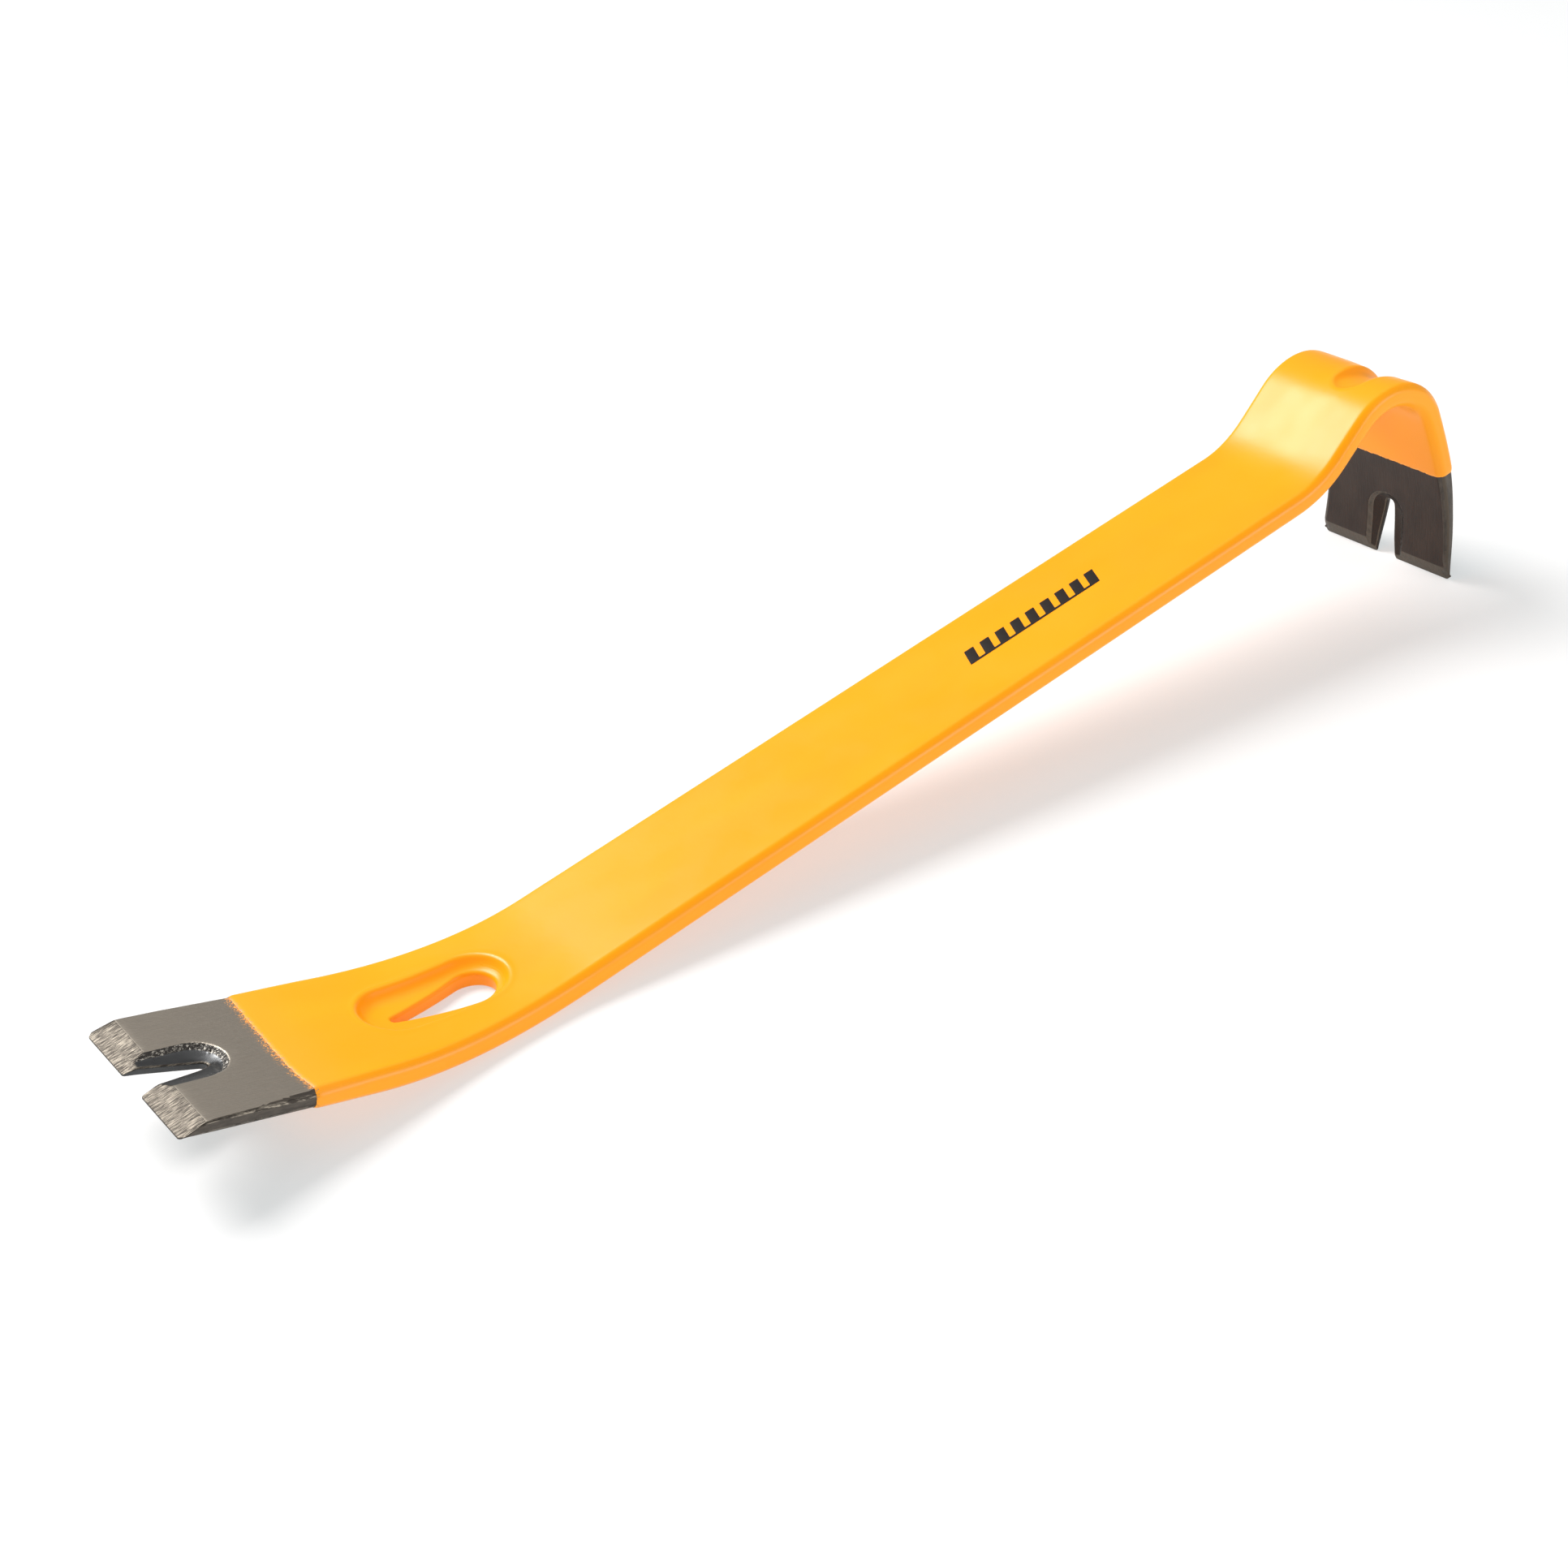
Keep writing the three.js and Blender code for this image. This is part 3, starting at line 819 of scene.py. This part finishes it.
YELLOW = colour(254, 162, 2)
DEEP_YELLOW = colour(253, 158, 1)
THIN_YELLOW = colour(254, 160, 26)
CLAW_STEEL = colour(130, 121, 109)
CLAW_STREAK = colour(156, 147, 134)
# Painted shade: the steel of the hook's half, drawn dark because it faces away from the light.
HOOK_SHADE = colour(42, 30, 23)
HOOK_SHADE_STREAK = colour(52, 39, 31)
GROUND_STEEL = colour(54, 48, 42)
GROUND_GLINT = colour(126, 118, 106)
HOOK_GROUND = colour(88, 79, 69)
# Painted shade: the dark steel of the sides and chamfers, for the dark surroundings that they reflect.
SIDE_SHADE = colour(58, 51, 44)
SIDE_SHADE_PALE = colour(80, 72, 63)
TORN_STEEL = colour(44, 39, 34)
TORN_GLINT = colour(196, 190, 178)
SUNK_STEEL = colour(62, 62, 62)
SUNK_CLOUD = colour(80, 81, 82)
INK = colour(22, 15, 12)
FADED_INK = colour(34, 24, 18)

def coat_material():
    """Sprayed semi-gloss coat: faint orange peel, slight clouding, thin and speckled at its start."""
    shader = Shader("yellow_coat", IOR=1.45, Specular_IOR_Level=0.4)
    clouds = shader.remap(shader.noise((0.02, 0.05, 0.05), detail=2.0), 0.35, 0.65)
    paint = shader.mix(clouds, YELLOW, DEEP_YELLOW)
    depth = shader.attribute("paint_depth", "Fac")
    paint = shader.mix(shader.remap(depth, 14.0, 0.0), paint, THIN_YELLOW)
    fade = shader.remap(depth, 0.0, 1.6, 0.46, 0.25, kind="LINEAR")
    bare = shader.math("LESS_THAN", shader.spray_grains(), fade)
    bare = shader.math("MULTIPLY", bare, shader.start_side())
    shader.connect("Base Color", shader.mix(bare, paint, CLAW_STEEL))
    patches = shader.noise((0.08, 0.1, 0.1))
    shader.connect("Roughness", shader.remap(patches, 0.3, 0.7, 0.3, 0.37))
    peel = shader.noise((0.55, 0.55, 0.55), detail=2.0)
    shader.connect("Normal", shader.bump(peel, 0.00002))
    return shader.material


def steel_material():
    """Steel brushed along the bar, with painted shade that darkens it towards the hook, and overspray
    next to the coat's start.
    """
    shader = Shader("brushed_steel", IOR=2.2)
    streaks = shader.remap(shader.noise((0.11, 3.2, 3.2), detail=3.0, rough=0.6), 0.3, 0.72)
    blotches = shader.remap(shader.noise((0.12, 0.16, 0.16)), 0.3, 0.7)
    claw = shader.mix(streaks, CLAW_STEEL, CLAW_STREAK)
    # The hook's half, in painted shade.
    dark = shader.mix(blotches, HOOK_SHADE, HOOK_SHADE_STREAK)
    steel = shader.mix(shader.hook_side(), claw, dark)
    depth = shader.attribute("paint_depth", "Fac")
    reach = shader.remap(depth, -3.4, 0.0, 0.78, 0.5, kind="LINEAR")
    sprayed = shader.math("GREATER_THAN", shader.spray_grains(), reach)
    sprayed = shader.math("MULTIPLY", sprayed, shader.start_side())
    shader.connect("Base Color", shader.mix(sprayed, steel, THIN_YELLOW))
    shader.connect("Metallic", shader.remap(sprayed, 0.0, 1.0, 0.8, 0.0))
    shader.connect("Roughness", shader.remap(streaks, 0.0, 1.0, 0.46, 0.34))
    shader.connect("Normal", shader.bump(streaks, 0.00003, 0.8))
    return shader.material


def ground_and_highlight_material():
    """The freshly ground bevels, with short scratches along the bar, real grain whose bright streaks are
    painted glints; the same material draws the painted highlight line along the edges' roundings and the
    notches' rims.
    """
    shader = Shader("ground_steel_and_highlight", Metallic=0.9, IOR=2.2)
    scratches = shader.noise((0.4, 4.6, 0.3), detail=4.0, rough=0.7)
    # Real scratch grain, whose bright streaks are painted glints; none on the hook.
    scratch_glints = shader.remap(scratches, 0.42, 0.62)
    bright = shader.mix(scratch_glints, GROUND_STEEL, GROUND_GLINT)
    shader.connect("Base Color", shader.mix(shader.hook_side(), bright, HOOK_GROUND))
    shader.connect("Roughness", shader.remap(scratches, 0.3, 0.7, 0.55, 0.38))
    shader.connect("Normal", shader.bump(scratches, 0.00008, 0.9))
    return shader.material


def side_shade_material():
    """Painted shade on the sides and chamfers, which are not brushed: drawn dark for the dark
    surroundings that they reflect.
    """
    shader = Shader("painted_side_shade", Metallic=0.55, IOR=1.8)
    clouds = shader.noise((0.25, 0.9, 0.9), detail=5.0, rough=0.65)
    shader.connect("Base Color", shader.mix(shader.remap(clouds, 0.3, 0.7), SIDE_SHADE, SIDE_SHADE_PALE))
    shader.connect("Roughness", shader.remap(clouds, 0.3, 0.7, 0.5, 0.38))
    shader.connect("Normal", shader.bump(clouds, 0.00004, 0.7))
    return shader.material


def torn_material():
    """The torn wall round a sunk notch: dark with painted glints on the straight claw, and plain on the
    hook.
    """
    shader = Shader("torn_steel", Metallic=0.7, IOR=2.0)
    grit = shader.noise((1.1, 2.4, 2.4), detail=6.0, rough=0.75)
    # Painted glints on the torn wall.
    wall_glints = shader.remap(grit, 0.53, 0.6)
    torn = shader.mix(wall_glints, TORN_STEEL, TORN_GLINT)
    shader.connect("Base Color", shader.mix(shader.hook_side(), torn, HOOK_GROUND))
    shader.connect("Roughness", shader.remap(grit, 0.3, 0.7, 0.5, 0.36))
    shader.connect("Normal", shader.bump(grit, 0.00012, 0.9))
    return shader.material


def sunk_material():
    """The smooth floor round the notches."""
    shader = Shader("sunk_steel", Metallic=0.85, IOR=2.0)
    clouds = shader.noise((0.5, 0.9, 0.9), detail=4.0, rough=0.6)
    sunk = shader.mix(clouds, SUNK_STEEL, SUNK_CLOUD)
    # On the hook the floor takes the painted hook shade.
    shader.connect("Base Color", shader.mix(shader.hook_side(), sunk, HOOK_SHADE))
    shader.connect("Roughness", shader.remap(clouds, 0.3, 0.7, 0.36, 0.26))
    return shader.material


def ink_material():
    shader = Shader("dark_ink", Roughness=0.5, IOR=1.45, Specular_IOR_Level=0.3)
    clouds = shader.noise((0.5, 0.9, 0.9), detail=4.0)
    shader.connect("Base Color", shader.mix(clouds, INK, FADED_INK))
    return shader.material


def floor_material():
    """A pale light table, tinted so that the coat's colour shows less in its shadows."""
    shader = Shader(
        "pale_floor", Roughness=0.9, Base_Color=(0.47, 0.45, 0.44, 1.0), Specular_IOR_Level=0.0,
        Emission_Color=(0.46, 0.49, 0.5, 1.0), Emission_Strength=1.0,
    )
    return shader.material


# ------------------------------------------------------------------ the pieces


# The steel's materials, in the order of its slots.
BRUSHED, GROUND_AND_HIGHLIGHT, SUNK, SIDE_SHADED, TORN = range(5)
ON_FACE = 0.12           # a face of the mesh this close to the ground face is part of it
NEAR_NOTCH = 6.0         # a sunk face is this close to its notch
CUTTING_EDGE = 0.1       # length of the dark line at a claw's tip, drawn in the painted side shade
GROUND_INSET = 0.3       # a bevel's ground face starts this far from the bar's side
TORN_WIDTH = SINK_WALL + 0.3
TORN_FROM_W, TORN_FROM_S = -4.0, 17.0   # the wall is torn on its far side and round the root
RIM_SHARE = 0.3          # the painted highlight along a notch's rim reaches this share of the thickness below the middle


def middle_of_rounding(from_edge):
    """Whether a point lies near the middle of an edge's rounding, where a painted highlight brightens it.
    """
    return np.abs(from_edge - ROUNDING / 2) < ROUNDING * 0.4


def steel_regions(flat, faces):
    """Each face's material."""
    middles = np.array([flat[list(face)].mean(axis=0) for face in faces])
    s, w, h = middles.T
    region = np.full(len(faces), BRUSHED)
    from_side = half_width(s) - np.abs(w)
    # Sides and chamfers take the painted side shade.
    region[from_side < np.where(h > 0, TOP_CHAMFER * top_wear(s), UNDER_CHAMFER)] = SIDE_SHADED
    # The middle of each edge's rounding takes the bevels' material as a painted highlight line.
    region[middle_of_rounding(from_side)] = GROUND_AND_HIGHLIGHT
    region[np.minimum(s, LENGTH - s) < CUTTING_EDGE] = SIDE_SHADED
    sides = (
        (1, lambda x: x, STRAIGHT_BEVEL, STRAIGHT_SINK, STRAIGHT_NOTCH),
        (-1, lambda x: LENGTH - x, HOOK_BEVEL, HOOK_SINK, HOOK_NOTCH),
    )
    for side, station, bevel, sink, opening in sides:
        face = ground_face(s, station, bevel)
        on_face = np.abs(side * h - face) < ON_FACE
        region[(station(s) < bevel) & on_face & (from_side > GROUND_INSET)] = GROUND_AND_HIGHLIGHT
        from_notch = opening.outside(s, w)
        inset = -sink.outside(s, w)
        sunk = (inset > 0) & (side * h < face - ON_FACE) & (from_notch < NEAR_NOTCH)
        region[sunk] = SUNK
        far_or_root = (w > TORN_FROM_W) | (station(s) > TORN_FROM_S)
        region[sunk & (inset < TORN_WIDTH) & far_or_root] = TORN
        above = side * h > -thickness(s) * RIM_SHARE
        # So does the rounding round each notch: a painted highlight along its rim.
        region[middle_of_rounding(from_notch) & above] = GROUND_AND_HIGHLIGHT
    return region


def coat_body(flat, faces):
    """A thin closed shell over the steel between the coat's two ends."""
    middles = np.array([flat[list(face)].mean(axis=0) for face in faces])
    covered = paint_depth(middles[:, 0], middles[:, 1]) > 0
    outer = [face for face, kept in zip(faces, covered) if kept]
    used = sorted({i for face in outer for i in face})
    place = {old: new for new, old in enumerate(used)}
    outer = [tuple(place[i] for i in face) for face in outer]
    base, normal = flat[used], vertex_normals(flat, faces)[used]
    depth = np.clip(paint_depth(base[:, 0], base[:, 1]) / COAT_TAPER, 0, 1)
    build_up = COAT_LEAST + (1 - COAT_LEAST) * (1 - (1 - depth) ** 2)
    raised = COAT_INSET + (COAT_OUTSET - COAT_INSET) * build_up
    count = len(used)
    directed = {(a, b) for face in outer for a, b in zip(face, face[1:] + face[:1])}
    rim = [(a, b) for a, b in sorted(directed) if (b, a) not in directed]
    inner = [tuple(i + count for i in reversed(face)) for face in outer]
    ends = [(a, a + count, b + count, b) for a, b in rim]
    points = np.concatenate([base + normal * raised[:, None], base + normal * COAT_INSET])
    return points, outer + inner + ends


def mark_outline():
    pitch = (MARK_LENGTH - MARK_SLANT) / (MARK_BLOCKS - 1 + BLOCK_SHARE)
    lean = MARK_SLANT * MARK_LINE / MARK_HEIGHT
    corners = [(0, 0), (MARK_LENGTH - MARK_SLANT, 0)]
    for block in reversed(range(MARK_BLOCKS)):
        left, right = block * pitch, block * pitch + pitch * BLOCK_SHARE
        if block < MARK_BLOCKS - 1:
            corners.append((right + lean, MARK_LINE))
        corners += [(right + MARK_SLANT, MARK_HEIGHT), (left + MARK_SLANT, MARK_HEIGHT)]
        if block > 0:
            corners.append((left + lean, MARK_LINE))
    corners = np.array(corners) + (MARK_FROM, MARK_ACROSS - MARK_HEIGHT / 2)
    around = zip(np.roll(corners, 1, axis=0), corners, np.roll(corners, -1, axis=0))
    return np.concatenate([softened(*three, MARK_ROUNDING, steps=4) for three in around])


def ink_height(gap):
    return lambda s, w: thickness(s) / 2 + COAT_OUTSET + gap


def build_bar():
    flat, faces = plate(
        bar_outline(), top_height, under_height, ROUNDING,
        lines_of=lambda loop: feature_lines() + paint_lines(loop),
        loose_of=lambda taken: grid_points(taken, PLAIN_STEP, GRID_GAP),
    )
    steel = make_piece(
        "forged_steel_bar", flat, faces,
        [steel_material(), ground_and_highlight_material(), sunk_material(), side_shade_material(), torn_material()],
        steel_regions(flat, faces),
    )
    coat = make_piece("sprayed_coat", *coat_body(flat, faces), [coat_material()])
    mark = make_piece(
        "printed_strip",
        *plate([mark_outline()], ink_height(INK_GAP + INK_THICKNESS), ink_height(INK_GAP), INK_THICKNESS,
               lines_of=lambda loop: [], loose_of=lambda taken: []),
        [ink_material()],
    )
    stands_for = (
        (steel, "forged_bar", "bare_steel"),
        (coat, "paint_coat", "yellow_coat"),
        (mark, "printed_mark", "dark_ink"),
    )
    for piece, node, slot in stands_for:
        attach(piece, "root")
        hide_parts(node)


# ------------------------------------------------------------------ floor, light and camera

CENTRE = (cad_low + cad_high) / 2
FLOOR_SIZE = 6.0


def add_floor():
    bpy.ops.mesh.primitive_plane_add(size=FLOOR_SIZE, location=(0, 0, cad_low.z))
    floor = bpy.context.object
    floor.name = "floor"
    floor.data.materials.append(floor_material())


def add_softbox(name, azimuth, elevation, distance, size, power, reflected=True):
    """A round area light that faces the object. Azimuth 0 is on the -Y side."""
    turn, rise = math.radians(azimuth), math.radians(elevation)
    towards = Vector((
        math.sin(turn) * math.cos(rise), -math.cos(turn) * math.cos(rise), math.sin(rise),
    ))
    light = bpy.data.lights.new(name, "AREA")
    light.shape = "DISK"
    light.size = size
    light.energy = power
    lamp = bpy.data.objects.new(name, light)
    lamp.location = CENTRE + towards * distance
    lamp.rotation_euler = towards.to_track_quat("Z", "Y").to_euler()
    lamp.visible_glossy = reflected
    bpy.context.scene.collection.objects.link(lamp)


def add_world(strength):
    world = bpy.data.worlds.new("studio")
    bpy.context.scene.world = world
    world.use_nodes = True
    background = world.node_tree.nodes["Background"]
    background.inputs["Color"].default_value = (1.0, 1.0, 1.0, 1.0)
    background.inputs["Strength"].default_value = strength


CAMERA_AZIMUTH = math.radians(-34.749)
CAMERA_ELEVATION = math.radians(32.188)
CAMERA_ROLL = math.radians(-5.045)
CAMERA_DISTANCE = 0.5605
CAMERA_TARGET = CENTRE + Vector((-0.02664, -0.00302, -0.01123))
LENS, SENSOR = 55.02, 36.0


def add_camera():
    data = bpy.data.cameras.new("camera")
    data.lens, data.sensor_width = LENS, SENSOR
    data.clip_start, data.clip_end = 0.01, 20.0
    camera = bpy.data.objects.new("camera", data)
    back = Vector((
        math.sin(CAMERA_AZIMUTH) * math.cos(CAMERA_ELEVATION),
        -math.cos(CAMERA_AZIMUTH) * math.cos(CAMERA_ELEVATION),
        math.sin(CAMERA_ELEVATION),
    ))
    level = Vector((0, 0, 1)).cross(back).normalized()
    upright = back.cross(level)
    right = level * math.cos(CAMERA_ROLL) + upright * math.sin(CAMERA_ROLL)
    up = upright * math.cos(CAMERA_ROLL) - level * math.sin(CAMERA_ROLL)
    turn = Matrix((right, up, back)).transposed().to_4x4()
    camera.matrix_world = Matrix.Translation(CAMERA_TARGET + back * CAMERA_DISTANCE) @ turn
    bpy.context.scene.collection.objects.link(camera)
    bpy.context.scene.camera = camera


build_bar()
add_floor()
add_world(0.3)
add_softbox("key", azimuth=202, elevation=50, distance=1.3, size=0.8, power=24)
add_softbox("back", azimuth=110, elevation=60, distance=1.5, size=1.2, power=2)
add_softbox("side", azimuth=30, elevation=10, distance=1.6, size=1.0, power=12)
add_softbox("front", azimuth=-50, elevation=15, distance=1.6, size=1.0, power=5, reflected=False)
add_camera()
bpy.context.scene.view_settings.view_transform = "Standard"
